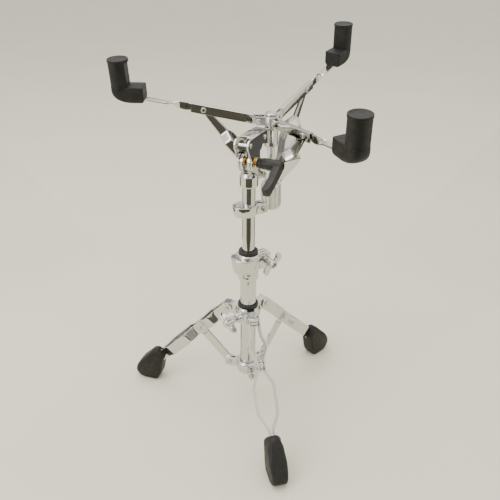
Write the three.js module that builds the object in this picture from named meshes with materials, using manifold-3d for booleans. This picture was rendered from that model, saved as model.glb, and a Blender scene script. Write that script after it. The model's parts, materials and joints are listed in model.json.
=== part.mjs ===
// Snare drum stand: folding double-strip tripod, telescoping column with a wing-nut clamp and a
// memory collar, T-handle tilter, and a three-arm basket closed by a threaded nut.
// Millimetres, +Z up, the front leg along -Y, the floor at z = 0.
import * as THREE from 'three';
import { mergeVertices } from 'three/addons/utils/BufferGeometryUtils.js';
import Module from 'manifold-3d';

const wasm = await Module();
wasm.setup();

const RAD = Math.PI / 180;
const GAP = 0.3; // between touching pieces

// ---- driving dimensions ----
const COLUMN = { x: -15.3, y: 6.5 }; // column axis, so that the origin is under the outline's middle
const BASE_TUBE_R = 12.7;
const UPPER_TUBE_R = 9.525;
const TUBE_WALL = 1.6;
const PIN_R = 2.5;
const PIN_HOLE_R = PIN_R + GAP;

const LEGS = { left: 150, front: 270, right: 30 }; // azimuths, degrees
const LEG_PIVOT = { r: 33.7, z: 177 };
const LEG_SLOPE = 46.1; // degrees below the horizontal
const LEG_HEIGHT = 18; // height of a leg strip on edge
const LEG_THICK = 2.2;
const LEG_STAY_U = 69.5; // from the leg's pivot to the stay's rivet
const LEG_END_U = 204;
const STAY_PIVOT = { r: 30.7, z: 68 };
const STAY_SLOPE = 49; // degrees above the horizontal
const STAY_LENGTH = 78;
const STAY_THICK = 3;
const STAY_SLOT = 4.8; // how far the rivet may run towards the hub while the legs fold

const CLAMP_AZIMUTH = 17.6;
const CLAMP_BOLT = { r: 29, z: 262 };
const WING_TURN = 38; // degrees between the nut's wings and the horizontal
const WING_BOLT = { azimuth: 210, z: 171 };

const TILT = { azimuth: 53, z: 423.5 }; // the tilter's bracket points this way, its bolt lies across
const BASKET = { x: 41.9, y: 41.0, z: 468.3, lean: 7.36, leanAzimuth: 243.5 }; // hub, from the column
const ARMS = { left: 161.5, front: 281.5, back: 41.5 };
const ARM_PIVOT_R = 17;
const ARM_RISE = 10.5; // degrees
const ARM_END = 98;
const ARM_RIVET = 80;
const GRIP_R = 211;
const STRUT_PIVOT = { r: 18, z: -86 };
const STRUT_END_GAP = 8; // the strut stops this far short of the arm's rivet
const BASKET_TUBE_R = 6;

// ---- materials ----
const finish = (color, roughness, metalness) =>
  new THREE.MeshStandardMaterial({ color, roughness, metalness });
const chrome = finish(0xd4d3ce, 0.12, 1);
const satin = finish(0xb9b8b3, 0.35, 1);
const brass = finish(0xc08a34, 0.3, 1);
const nylon = finish(0x1b1b1b, 0.45, 0);
const rubber = finish(0x33322f, 0.75, 0);

// ---- solids: every shape is a closed manifold, joined and cut here ----
function solid(geometry) {
  geometry.deleteAttribute('normal');
  geometry.deleteAttribute('uv');
  const merged = mergeVertices(geometry, 1e-4);
  return new wasm.Manifold(new wasm.Mesh({
    numProp: 3,
    vertProperties: merged.attributes.position.array,
    triVerts: new Uint32Array(merged.index.array),
  }));
}

const join = (...pieces) => pieces.reduce((all, piece) => all.add(piece));
const cut = (body, ...tools) => tools.reduce((rest, tool) => rest.subtract(tool), body);

// A cylinder along Z, from z0 to z1.
function rod(radius, z0, z1, sides = 20) {
  const geometry = new THREE.CylinderGeometry(radius, radius, z1 - z0, sides);
  return solid(geometry.rotateX(Math.PI / 2).translate(0, 0, (z0 + z1) / 2));
}

// A cylinder along X or Y through (x, z) or (y, z) of the piece's own frame.
const rodY = (radius, y0, y1, x = 0, z = 0, sides = 10) =>
  rod(radius, y0, y1, sides).rotate([-90, 0, 0]).translate([x, 0, z]);
const rodX = (radius, x0, x1, y = 0, z = 0, sides = 12) =>
  rod(radius, x0, x1, sides).rotate([0, 90, 0]).translate([0, y, z]);

const block = (x0, x1, y0, y1, z0, z1) => solid(
  new THREE.BoxGeometry(x1 - x0, y1 - y0, z1 - z0)
    .translate((x0 + x1) / 2, (y0 + y1) / 2, (z0 + z1) / 2));

// A turned piece: the profile is a closed list of [radius, height].
function turned(profile, sides = 20) {
  const points = [...profile, profile[0]].map(([r, z]) => new THREE.Vector2(r, z));
  const geometry = new THREE.LatheGeometry(points, sides).rotateX(Math.PI / 2);
  const made = solid(geometry);
  return made.volume() > 0 ? made : solid(new THREE.LatheGeometry(points.reverse(), sides)
    .rotateX(Math.PI / 2));
}

const sleeve = (inner, outer, z0, z1, sides = 20) =>
  turned([[inner, z0], [outer, z0], [outer, z1], [inner, z1]], sides);

// A plate: the outline is a list of [x, z], the plate spans y0 to y1.
function plate(outline, y0, y1) {
  const shape = new THREE.Shape(outline.map(([x, z]) => new THREE.Vector2(x, z)));
  const geometry = new THREE.ExtrudeGeometry(shape, { depth: y1 - y0, bevelEnabled: false });
  return solid(geometry.rotateX(Math.PI / 2).translate(0, y1, 0));
}

// Points on an arc about (x, z), from one angle to another, in degrees.
function arc(x, z, radius, from, to, steps = 4) {
  return Array.from({ length: steps + 1 }, (_, i) => {
    const a = (from + (to - from) * i / steps) * RAD;
    return [x + radius * Math.cos(a), z + radius * Math.sin(a)];
  });
}

// A flat strip on edge: it follows [x, y] points seen from above, between heights z0 and z1.
function strip(path, thickness, z0, z1) {
  const points = path.map(([x, y]) => new THREE.Vector2(x, y));
  const side = (sign) => points.map((point, i) => {
    const before = points[Math.max(i - 1, 0)];
    const after = points[Math.min(i + 1, points.length - 1)];
    const a = point.clone().sub(before).normalize();
    const b = after.clone().sub(point).normalize();
    const way = a.clone().add(b).normalize();
    const mitre = Math.max(way.dot(i ? a : b), 0.5);
    return [
      point.x - sign * way.y * thickness / 2 / mitre,
      point.y + sign * way.x * thickness / 2 / mitre,
    ];
  });
  const outline = [...side(-1), ...side(1).reverse()].map(([x, y]) => new THREE.Vector2(x, y));
  const geometry = new THREE.ExtrudeGeometry(new THREE.Shape(outline),
    { depth: z1 - z0, bevelEnabled: false });
  return solid(geometry.translate(0, 0, z0));
}

// The same piece with its end at X = 0 rounded about the Y axis.
const roundEnd = (body, radius) => body.intersect(
  join(block(0, 300, -40, 40, -20, 20), rodY(radius, -40, 40, 0, 0, 16)));

const mirrored = (path, sign) => path.map(([x, y]) => [x, y * sign]);

function mesh(name, body, material) {
  const made = body.getMesh();
  const geometry = new THREE.BufferGeometry();
  geometry.setAttribute('position', new THREE.BufferAttribute(made.vertProperties.slice(), 3));
  geometry.setIndex(new THREE.BufferAttribute(made.triVerts.slice(), 1));
  geometry.computeVertexNormals();
  const result = new THREE.Mesh(geometry, material);
  result.name = name;
  return result;
}

// A group whose X axis points outwards at an azimuth, at radius r and height z.
function radial(azimuth, r = 0, z = 0) {
  const group = new THREE.Group();
  group.rotation.z = azimuth * RAD;
  group.position.set(r * Math.cos(azimuth * RAD), r * Math.sin(azimuth * RAD), z);
  return group;
}

// A pivot pin across a leg or a basket joint, with a head at each end.
function pin(grip, headRadius = 4.5, radius = PIN_R) {
  return join(
    rodY(radius, -grip - 1, grip + 1),
    rodY(headRadius, grip, grip + 1.8),
    rodY(headRadius, -grip - 1.8, -grip));
}

// ---- base: tube, hub and height clamp ----
function lowerHub() {
  const lugs = Object.values(LEGS).flatMap((azimuth) => [-1, 1].map((side) => {
    const outline = [[15, -7.5], ...arc(STAY_PIVOT.r, 0, 7.5, -90, 90), [15, 7.5]];
    const inner = STAY_THICK / 2 + GAP;
    const lug = plate(outline, side > 0 ? inner : -inner - 3, side > 0 ? inner + 3 : -inner);
    return cut(lug, rodY(PIN_HOLE_R, -9, 9, STAY_PIVOT.r))
      .translate([0, 0, STAY_PIVOT.z]).rotate([0, 0, azimuth]);
  }));
  const body = turned([
    [BASE_TUBE_R + GAP, 58], [17, 58], [18, 60], [18, 76], [16.5, 78], [BASE_TUBE_R + GAP, 78]]);
  return join(body, ...lugs);
}

function heightClamp() {
  const bore = BASE_TUBE_R + GAP;
  const body = turned([
    [bore, 236], [16, 236], [16, 246], [18.3, 249], [18.3, 277], [17, 280], [bore, 280]]);
  const lobe = block(-24, 0, -9, 9, 250, 274).rotate([0, 0, CLAMP_AZIMUTH]);
  const ears = join(lobe, block(15, 37, -9, 9, 250, 274).rotate([0, 0, CLAMP_AZIMUTH]));
  const slit = block(12, 40, -1.2, 1.2, 235, 281).rotate([0, 0, CLAMP_AZIMUTH]);
  const hole = rodY(3.8, -12, 12, CLAMP_BOLT.r, CLAMP_BOLT.z).rotate([0, 0, CLAMP_AZIMUTH]);
  return cut(join(body, ears), rod(bore, 230, 290), slit, hole);
}

function wingNut() {
  const wings = [0, 180].map((turn) => plate([
    [5, -2.5], [13, -4.5], ...arc(15.5, 0.5, 5, -60, 100, 5), [6, 3.5]], -25, -20)
    .rotate([0, turn - WING_TURN, 0]));
  return cut(join(rodY(7, -27, -9.6), ...wings), rodY(3.9, -30, -8));
}

const base = new THREE.Group();
base.add(mesh('base_tube', sleeve(BASE_TUBE_R - TUBE_WALL, BASE_TUBE_R, 54, 250), chrome));
base.add(mesh('lower_hub', lowerHub(), chrome));
base.add(mesh('height_clamp', heightClamp(), chrome));
base.add(mesh('clamp_bushing', turned([
  [UPPER_TUBE_R + GAP, 250.5], [BASE_TUBE_R, 250.5], [BASE_TUBE_R, 280.3], [14.6, 280.3],
  [14.6, 284.5], [UPPER_TUBE_R + GAP, 284.5]]), nylon));
const clampScrews = radial(CLAMP_AZIMUTH, CLAMP_BOLT.r, CLAMP_BOLT.z);
clampScrews.add(mesh('clamp_bolt', join(rodY(3.5, -24, 10), rodY(6, 9.3, 13.5, 0, 0, 6)), chrome));
clampScrews.add(mesh('clamp_wing_nut', wingNut(), chrome));
base.add(clampScrews);

// ---- tripod: sliding collar, double-strip legs and stays ----
function tripodCollar() {
  const bore = BASE_TUBE_R + GAP;
  const z = LEG_PIVOT.z;
  const body = turned([
    [bore, 157], [17.5, 157], [18.5, 160], [18.5, 172], [19.5, 173.5], [19.5, 186], [bore, 186]]);
  const tongue = plate([[15, -9], ...arc(LEG_PIVOT.r, 0, 9, -90, 90), [15, 9]], -6, 6);
  const lugs = Object.values(LEGS).map((azimuth) =>
    cut(tongue, rodY(PIN_HOLE_R, -9, 9, LEG_PIVOT.r)).translate([0, 0, z]).rotate([0, 0, azimuth]));
  const boss = rodX(7.5, 15, 27, 0, WING_BOLT.z).rotate([0, 0, WING_BOLT.azimuth]);
  const hole = rodX(4.2, 5, 30, 0, WING_BOLT.z).rotate([0, 0, WING_BOLT.azimuth]);
  return cut(join(body, ...lugs, boss), rod(bore, 150, 190), hole);
}

// The wing bolt lies along X; its two wings spread at an angle to the vertical.
function collarWingBolt() {
  const wings = [62, 242].map((turn) => plate([
    [35, 3], [37, 13], ...arc(43, 15, 6, 150, 20, 5), [50, 4]], -2, 2).rotate([turn, 0, 0]));
  return join(rodX(3.9, BASE_TUBE_R + GAP, 50), rodX(7, 32, 50), ...wings);
}

const LEG_PATH = [
  [-9.5, 7.6], [24, 8.3], [40, 14.8], [62, 5.4], [78, 5.0],
  [98, 15.8], [140, 15.0], [163, 2.7], [LEG_END_U, 2.7],
];

function legStrip(side) {
  const half = LEG_HEIGHT / 2;
  const body = strip(mirrored(LEG_PATH, side), LEG_THICK, -half, half);
  const holes = [0, LEG_STAY_U].map((u) => rodY(PIN_HOLE_R, -12, 12, u));
  return cut(roundEnd(body, half), ...holes);
}

// The foot is drawn upright, in the plane of its leg: x outwards, z up from the floor.
function foot() {
  const outline = [
    [158, 12], [165, 0], [190, 0], [200, 3.5], [206, 11], [204, 22], [197, 34], [170, 62], [160, 65],
    [147, 51]];
  return plate(outline, -13, 13);
}

const collar = new THREE.Group();
collar.add(mesh('tripod_collar', tripodCollar(), chrome));
collar.add(mesh('collar_bushing', sleeve(BASE_TUBE_R + GAP, 16, 186.3, 192), nylon));
const wingBolt = radial(WING_BOLT.azimuth, 0, WING_BOLT.z);
wingBolt.add(mesh('collar_wing_bolt', collarWingBolt(), chrome));
collar.add(wingBolt);

const legs = new THREE.Group();
for (const [name, azimuth] of Object.entries(LEGS)) {
  const place = radial(azimuth, LEG_PIVOT.r, LEG_PIVOT.z);
  const leg = new THREE.Group();
  leg.rotation.y = LEG_SLOPE * RAD;
  leg.add(mesh(`leg_strip_a_${name}`, legStrip(1), chrome));
  leg.add(mesh(`leg_strip_b_${name}`, legStrip(-1), chrome));
  const rivet = join(pin(6.6), rodY(6.5, -3.7, -1.8), rodY(6.5, 1.8, 3.7))
    .translate([LEG_STAY_U, 0, 0]);
  leg.add(mesh(`leg_rivet_${name}`, rivet, satin));
  const pocket = block(150, LEG_END_U + 1, -4.1, 4.1, -LEG_HEIGHT / 2 - GAP, LEG_HEIGHT / 2 + GAP)
    .rotate([0, LEG_SLOPE, 0]).translate([LEG_PIVOT.r, 0, LEG_PIVOT.z]);
  const shoe = cut(foot(), pocket).translate([-LEG_PIVOT.r, 0, -LEG_PIVOT.z]);
  place.add(mesh(`foot_${name}`, shoe, rubber));
  place.add(leg);
  place.add(mesh(`collar_pin_${name}`, pin(9.1), satin));
  legs.add(place);

  const stayPlace = radial(azimuth, STAY_PIVOT.r, STAY_PIVOT.z);
  const stay = new THREE.Group();
  stay.rotation.y = -STAY_SLOPE * RAD;
  const outline = [
    ...arc(0, 0, 7, 90, 270), ...arc(STAY_LENGTH, 0, 7, -90, 90)];
  const slot = plate([
    ...arc(-STAY_SLOT, -1.1, PIN_HOLE_R + 1.2, 90, 270, 5), ...arc(0, -1.1, PIN_HOLE_R + 1.2, -90, 90, 5),
  ], -3, 3).translate([STAY_LENGTH, 0, 0]);
  const bar = cut(plate(outline, -STAY_THICK / 2, STAY_THICK / 2), rodY(PIN_HOLE_R, -3, 3), slot);
  stay.add(mesh(`stay_${name}`, bar, chrome));
  stayPlace.add(stay);
  stayPlace.add(mesh(`hub_pin_${name}`, pin(5.1, 4), satin));
  legs.add(stayPlace);
}

// ---- upper tube, memory collar and the tilter's fixed casting ----
function memoryLock() {
  const ring = sleeve(UPPER_TUBE_R + GAP, 15, 343, 359);
  const ears = block(13, 27, -6, 6, 344, 358).rotate([0, 0, 20]);
  const slit = block(8, 30, -1, 1, 340, 362).rotate([0, 0, 20]);
  const lobe = block(-22, 0, -8, 8, 343, 359).rotate([0, 0, 20]);
  const hole = rodY(2.8, -10, 10, 21, 351).rotate([0, 0, 20]);
  return cut(join(ring, ears, lobe), rod(UPPER_TUBE_R + GAP, 340, 362), slit, hole);
}

function tilterBase() {
  const socket = turned([[0, 402], [UPPER_TUBE_R + GAP, 402], [UPPER_TUBE_R + GAP, 387],
    [12.5, 387], [13.2, 389], [13.2, 404], [11, 408], [0, 408]]);
  const ear = (y0) => plate([
    [-10, -19], [10, -19], ...arc(0, 0, 15.5, -40, 220, 8)], y0, y0 + 4.6)
    .translate([0, 0, TILT.z]);
  const bore = rodY(4.3, -12, 12, 0, TILT.z);
  return cut(join(socket, ear(3.2), ear(-7.8)), bore);
}

const upper = new THREE.Group();
upper.add(mesh('upper_tube', sleeve(UPPER_TUBE_R - TUBE_WALL, UPPER_TUBE_R, 150, 401.7), chrome));
upper.add(mesh('memory_lock', memoryLock(), chrome));
const lockScrew = radial(20, 21, 351);
lockScrew.add(mesh('memory_lock_screw', join(
  rodY(PIN_R, -9, 8), rodY(4.5, -10, -6.3), block(-2.6, 2.6, -15, -9, -2.6, 2.6)), satin));
upper.add(lockScrew);
const casting = radial(TILT.azimuth);
casting.add(mesh('tilter_base', tilterBase(), chrome));
upper.add(casting);

// ---- tilter bracket and its T-handle ----
const basketTurn = new THREE.Quaternion().setFromAxisAngle(
  new THREE.Vector3(-Math.sin(BASKET.leanAzimuth * RAD), Math.cos(BASKET.leanAzimuth * RAD), 0),
  BASKET.lean * RAD);

// The basket's own frame seen from the tilter's: a solid drawn about the basket tube is moved there.
function fromBasket(body) {
  const place = new THREE.Matrix4().compose(
    new THREE.Vector3(BASKET.x, BASKET.y, BASKET.z - TILT.z), basketTurn, new THREE.Vector3(1, 1, 1));
  place.premultiply(new THREE.Matrix4().makeRotationZ(-TILT.azimuth * RAD));
  return body.transform(place.elements);
}

function tilterBracket() {
  const outline = [
    ...arc(-20, 29, 8.5, 225, 90, 5), [20, 37], [53, 35], [53, 12], [24, 20], [17, 12],
    ...arc(0, 0, 15, 20, -200, 7), [-21, 14]];
  const plates = [-10.9, 8.2].map((y0) => plate(outline, y0, y0 + 2.7));
  const top = plate([[-6, 34.8], [20, 34.4], [53, 32.4], [53, 35], [20, 37], [-6, 37.4]], -10.9, 10.9);
  const end = block(50, 53, -10.9, 10.9, 13, 34.9);
  const boss = fromBasket(rod(10, -40, -9, 16));
  const bore = fromBasket(rod(BASKET_TUBE_R + GAP, -60, 10, 12));
  const bolt = rodY(4.3, -20, 20);
  return cut(join(...plates, top, end, boss), bore, bolt);
}

function handle() {
  const hub = rodY(7.4, -50, -13.7, 0, 0, 20);
  const blade = plate([
    [-4, 6.5], [-40, -15.5], ...arc(-40.5, -24, 8, 105, 290, 5), [-11, -14], [3, -6.5]], -46, -36);
  return cut(join(hub, blade), rodY(3.8, -46, -10));
}

const tilt = radial(TILT.azimuth, 0, TILT.z);
tilt.add(mesh('tilter_bracket', tilterBracket(), chrome));
tilt.add(mesh('tilter_bolt', join(rodY(3.5, -45, 12), rodY(7, 11.2, 15, 0, 0, 6)), chrome));
tilt.add(mesh('brass_washer', cut(rodY(8, -13.4, -11.2, 0, 0, 20), rodY(3.8, -20, 0)), brass));
tilt.add(mesh('tilter_handle', handle(), nylon));

// ---- basket: tube, hub, arms, grips, struts, slider and nut ----
// The hub or the slider: a sleeve with three tongues and its three pivot pins.
function tongues(z, pivotRadius, tongueHalf, grip) {
  const solids = Object.values(ARMS).flatMap((azimuth) => [
    plate([[9, -6], ...arc(pivotRadius, 0, 6, -90, 90), [9, 6]], -tongueHalf, tongueHalf),
    pin(grip, 3.6, 2).translate([pivotRadius, 0, 0]),
  ].map((piece) => piece.translate([0, 0, z]).rotate([0, 0, azimuth])));
  const bore = BASKET_TUBE_R + GAP;
  return cut(join(sleeve(bore, 10, z - 7, z + 7, 12), ...solids), rod(bore, z - 10, z + 10, 12));
}

function armChannel() {
  const outline = [[-7.5, -7], [-5.9, -7], [-5.9, 5.4], [5.9, 5.4], [5.9, -7], [7.5, -7], [7.5, 7],
    [-7.5, 7]].map(([y, z]) => new THREE.Vector2(y, z));
  const channel = solid(new THREE.ExtrudeGeometry(new THREE.Shape(outline),
    { depth: ARM_END - 8, bevelEnabled: false }).rotateX(Math.PI / 2).rotateZ(Math.PI / 2))
    .translate([8, 0, 0]);
  const ears = [-7.5, 5.9].map((y0) => plate([
    ...arc(0, 0, 6.5, 90, 270), [9, -7], [9, 7]], y0, y0 + 1.6));
  return cut(join(channel, ...ears), rodY(2.3, -9, 9), rodY(PIN_HOLE_R, -9, 9, ARM_RIVET));
}

function armBlade() {
  const upright = plate([
    [62, -5], [99, -5], [110, -6], [124, -3], [126, -1], [126, 1], [124, 3], [110, 6], [99, 5],
    [62, 5]], -1, 1);
  const flat = block(118, 186, -5.5, 5.5, -1, 1);
  const taper = strip([[110, 0], [119, 0]], 2, -1, 1);
  return cut(join(upright, taper, flat), rodY(PIN_HOLE_R, -3, 3, ARM_RIVET), rodY(1.6, -3, 3, 107));
}

// The grip is drawn upright: x from the basket's axis, z from the hub.
function grip() {
  const seat = plate([
    [178, 27.5], [205, 23.5], [216, 26], [223, 34], [225, 49], [178, 49]], -13, 13);
  const back = block(-20, -10.8, -20, 20, 49, 82);
  const post = cut(rod(14.2, 38, 84.5, 16), back).translate([GRIP_R, 0, 0]);
  const lip = rod(14.8, 82, 86, 16).translate([GRIP_R, 0, 0]);
  return join(seat, post, lip);
}

function strut(length) {
  const end = length - STRUT_END_GAP;
  const path = [
    [-7, 5.4], [14, 5.4], [48, 12.5], [length - 56, 12.5], [length - 44, 4.4], [end, 4.4]];
  const cheeks = [-1, 1].map((side) => strip(mirrored(path, side), 2, -7, 7));
  const web = block(11, length - 58, -5, 5, -7, -5.2);
  return cut(roundEnd(join(...cheeks, web), 6.5), rodY(2.3, -8, 8));
}

const basket = new THREE.Group();
basket.position.set(BASKET.x, BASKET.y, BASKET.z);
basket.quaternion.copy(basketTurn);
basket.add(mesh('basket_tube', sleeve(4.4, BASKET_TUBE_R, -146, 11, 12), chrome));
basket.add(mesh('basket_hub', tongues(0, ARM_PIVOT_R, 5.3, 7.9), chrome));
basket.add(mesh('strut_slider', tongues(STRUT_PIVOT.z, STRUT_PIVOT.r, 3.9, 6.8), chrome));
basket.add(mesh('basket_nut', turned([
  [BASKET_TUBE_R + GAP, -143], [14, -143], [15.5, -141], [15.5, -103], [14, -101], [9, -100],
  [9, -93.4], [BASKET_TUBE_R + GAP, -93.4]], 16), satin));

const rise = ARM_RISE * RAD;
const rivetAt = new THREE.Vector2(
  ARM_PIVOT_R + ARM_RIVET * Math.cos(rise), ARM_RIVET * Math.sin(rise));
const strutWay = rivetAt.clone().sub(new THREE.Vector2(STRUT_PIVOT.r, STRUT_PIVOT.z));

for (const [name, azimuth] of Object.entries(ARMS)) {
  const place = radial(azimuth, ARM_PIVOT_R);
  const arm = new THREE.Group();
  arm.rotation.y = -rise;
  arm.add(mesh(`arm_channel_${name}`, armChannel(), chrome));
  arm.add(mesh(`arm_rivet_${name}`, pin(7.9, 4.2).translate([ARM_RIVET, 0, 0]), satin));
  arm.add(mesh(`arm_blade_${name}`, armBlade(), chrome));
  place.add(arm);
  const pocket = block(160, 187, -5.8, 5.8, -1 - GAP, 1 + GAP).rotate([0, -ARM_RISE, 0]);
  const rubberGrip = cut(grip().translate([-ARM_PIVOT_R, 0, 0]), pocket);
  place.add(mesh(`grip_${name}`, rubberGrip, rubber));
  basket.add(place);

  const strutPlace = radial(azimuth, STRUT_PIVOT.r, STRUT_PIVOT.z);
  const leaning = new THREE.Group();
  leaning.rotation.y = -strutWay.angle();
  leaning.add(mesh(`strut_${name}`, strut(strutWay.length()), chrome));
  strutPlace.add(leaning);
  basket.add(strutPlace);
}

const stand = new THREE.Group();
stand.position.set(COLUMN.x, COLUMN.y, 0);
stand.add(base, collar, legs, upper, tilt, basket);
stand.updateMatrixWorld(true);

export default stand;
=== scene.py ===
import json
import math

import bmesh
import bpy
import numpy as np
from bpy.props import FloatProperty, FloatVectorProperty, PointerProperty
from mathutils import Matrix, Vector


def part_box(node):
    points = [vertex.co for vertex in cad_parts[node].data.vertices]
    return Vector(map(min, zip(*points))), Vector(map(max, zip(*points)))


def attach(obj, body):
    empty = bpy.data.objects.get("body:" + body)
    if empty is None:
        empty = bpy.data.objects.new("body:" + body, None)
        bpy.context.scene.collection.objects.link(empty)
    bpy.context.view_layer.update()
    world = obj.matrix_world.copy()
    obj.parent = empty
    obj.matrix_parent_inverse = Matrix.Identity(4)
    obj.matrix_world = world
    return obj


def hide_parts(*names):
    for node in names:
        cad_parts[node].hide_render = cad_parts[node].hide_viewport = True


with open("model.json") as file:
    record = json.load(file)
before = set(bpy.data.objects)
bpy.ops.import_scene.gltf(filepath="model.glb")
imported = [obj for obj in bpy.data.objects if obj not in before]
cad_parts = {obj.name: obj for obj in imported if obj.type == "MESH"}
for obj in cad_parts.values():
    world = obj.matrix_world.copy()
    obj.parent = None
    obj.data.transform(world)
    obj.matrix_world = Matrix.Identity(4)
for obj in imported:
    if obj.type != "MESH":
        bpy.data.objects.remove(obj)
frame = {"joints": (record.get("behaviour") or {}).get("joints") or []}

bl_info = {
    "name": "Snare Drum Stand",
    "version": (1, 0, 0),
    "blender": (4, 5, 0),
    "location": "View3D > Sidebar > Drum Stand",
    "description": "Builds the finished surfaces of a folding snare drum stand round its frame",
    "category": "Add Mesh",
}

MM = 0.001
UP = np.array([0.0, 0.0, 1.0])
JOINTS = {joint["name"]: joint for joint in frame["joints"]}
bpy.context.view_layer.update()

# Angles of the folded sheet parts to the level, in the rest pose.
LEG_SLOPE = math.radians(46.1)
STAY_SLOPE = math.radians(49.0)
ARM_RISE = math.radians(10.5)

# Sizes shared by several pieces, in millimetres.
BASE_TUBE_R = 12.7
UPPER_TUBE_R = 9.525
BASKET_TUBE_R = 6.0
GAP = 0.3
BASE_BORE = BASE_TUBE_R + GAP
UPPER_BORE = UPPER_TUBE_R + GAP
BASKET_BORE = BASKET_TUBE_R + GAP
PIN_R = 2.5
LEG_HALF_HEIGHT = 9.0
LEG_STAY_U = 69.5
LEG_END_U = 204.0
ARM_RIVET_U = 80.0
STAY_LENGTH = 78.0
STRUT_PIVOT_R = 18.0
STRUT_PIVOT_Z = -86.0
ARM_HALF_WIDTH = 3.3
NUT_WING_TURN = 38
BOLT_WING_TURN = 62
SHARP_ANGLE = math.radians(35)


# ---- where things stand: an origin in metres and three unit vectors, read from the joints ----
def unit(vector):
    return np.asarray(vector, float) / np.linalg.norm(vector)


class Place:
    """A right-handed frame: origin in metres, X given, Z given, Y = Z x X."""

    def __init__(self, origin, x, z):
        self.origin = np.asarray(origin, float)
        self.axes = np.array([unit(x), unit(np.cross(z, x)), unit(z)])

    def world(self, points):
        """Millimetres in this frame to metres: origin + x X + y Y + z Z."""
        return self.origin + MM * np.asarray(points) @ self.axes

    def pitched(self, angle):
        """The same frame turned about its own Y so that X rises by the angle."""
        x, _, z = self.axes
        c, s = math.cos(angle), math.sin(angle)
        return Place(self.origin, c * x + s * z, c * z - s * x)


def hinge_place(name, outward_sign, up=UP):
    """The frame of a hinge: Y lies along its axis, X points outwards and Z along up."""
    across = outward_sign * unit(JOINTS[name]["axis"])
    return Place(JOINTS[name]["pos_m"], np.cross(across, up), up)


BASKET_UP = unit(JOINTS["basket_close"]["axis"])
ARM_NAMES = [name[4:-6] for name in JOINTS if name.startswith("arm_")]
LEG_NAMES = [name[4:-5] for name in JOINTS if name.startswith("leg_")]
COLUMN = Place([*JOINTS["swivel"]["pos_m"][:2], 0.0], [1, 0, 0], UP)
TILTER = hinge_place("tilt", -1)
LEGS = {name: hinge_place(f"leg_{name}_fold", 1) for name in LEG_NAMES}
STAYS = {name: hinge_place(f"stay_{name}_fold", -1) for name in LEG_NAMES}
ARMS = {name: hinge_place(f"arm_{name}_swing", -1, BASKET_UP) for name in ARM_NAMES}
STRUTS = {name: hinge_place(f"strut_{name}_swing", -1, BASKET_UP) for name in ARM_NAMES}
HUB = Place(np.mean([arm.origin for arm in ARMS.values()], 0), ARMS[ARM_NAMES[0]].axes[0], BASKET_UP)
WING_BOLT = Place(
    [*COLUMN.origin[:2], JOINTS["collar_bolt_turn"]["pos_m"][2]], JOINTS["collar_bolt_turn"]["axis"], UP)


def column_place(x, z):
    """The column's frame turned so that X has the direction x, at height z in millimetres."""
    return Place(COLUMN.world([0, 0, z]), [x[0], x[1], 0], UP)


def reach_and_turn(place):
    """A place's distance from the column's axis in millimetres, and the direction of its X in degrees."""
    reach = np.linalg.norm((place.origin - COLUMN.origin)[:2]) / MM
    return reach, math.degrees(math.atan2(place.axes[0][1], place.axes[0][0]))


# ---- surfaces: closed shells of vertices and faces, worked out as whole arrays ----
def points_of(x, y, z):
    """Coordinates of shapes that match, stacked into points."""
    return np.stack(np.broadcast_arrays(x, y, z), -1)


def carried(rings, loop=False):
    """Faces between neighbouring rings; rings[i, j] is point j of ring i. An open run is capped."""
    count, around = rings.shape[:2]
    i = np.arange(count if loop else count - 1)[:, None]
    j = np.arange(around)[None, :]
    after = (i + 1) % count
    beside = (j + 1) % around
    quads = np.stack([i * around + j, i * around + beside, after * around + beside, after * around + j], -1)
    faces = quads.reshape(-1, 4).tolist()
    if not loop:
        faces += [list(range(around)), list(range((count - 1) * around, count * around))]
    return rings.reshape(-1, 3), faces


def rounded(corners, radius, steps=4, closed=True):
    """Rounds the corners of a polygon: from A before a corner C to B after it the curve is
    (1-t)^2 A + 2t(1-t) C + t^2 B, with A and B a radius away from C."""
    corner = np.asarray(corners, float)
    back = np.roll(corner, 1, 0) - corner
    ahead = np.roll(corner, -1, 0) - corner
    near = np.linalg.norm(back, axis=1, keepdims=True)
    far = np.linalg.norm(ahead, axis=1, keepdims=True)
    reach = np.minimum(np.reshape(radius, (-1, 1)), 0.48 * np.minimum(near, far))
    start = (corner + back / near * reach)[:, None]
    end = (corner + ahead / far * reach)[:, None]
    t = np.linspace(0, 1, steps + 1)[None, :, None]
    curve = (1 - t) ** 2 * start + 2 * t * (1 - t) * corner[:, None] + t**2 * end
    if closed:
        return curve.reshape(-1, corner.shape[1])
    middle = curve[1:-1].reshape(-1, corner.shape[1])
    return np.vstack([corner[:1], middle, corner[-1:]])


def circle(radius, x=0.0, z=0.0, sides=48):
    """(x + r cos a, z + r sin a) for a from 0 to 2 pi."""
    a = np.linspace(0, 2 * np.pi, sides, endpoint=False)
    return np.stack([x + radius * np.cos(a), z + radius * np.sin(a)], -1)


def bored(profile, sides=72, gap=0.0):
    """A closed profile of (r, z) turned about Z: (r cos a, r sin a, z). A gap in degrees, about the X
    axis, leaves a slit."""
    r, z = np.asarray(profile, float).T
    half = math.radians(gap) / 2
    a = np.linspace(half, 2 * np.pi - half, sides, endpoint=gap > 0)[:, None]
    return carried(points_of(r * np.cos(a), r * np.sin(a), z), loop=gap == 0)


def turned(profile, sides=48):
    """A profile of (r, z) from one end to the other, turned about Z and closed by its two end discs."""
    r, z = np.asarray(profile, float).T[:, :, None]
    a = np.linspace(0, 2 * np.pi, sides, endpoint=False)
    return carried(points_of(r * np.cos(a), r * np.sin(a), z))


def sleeve(inner, outer, z0, z1, edge=0.4, gap=0.0):
    profile = rounded([[inner, z0], [outer, z0], [outer, z1], [inner, z1]], edge)
    return bored(profile, gap=gap)


def rod(radius, z0, z1, edge=0.4, sides=40):
    """A round bar along Z, its rims rounded by the edge."""
    profile = rounded([[0.02, z0], [radius, z0], [radius, z1], [0.02, z1]], edge, closed=False)
    return turned(profile, sides)


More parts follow.
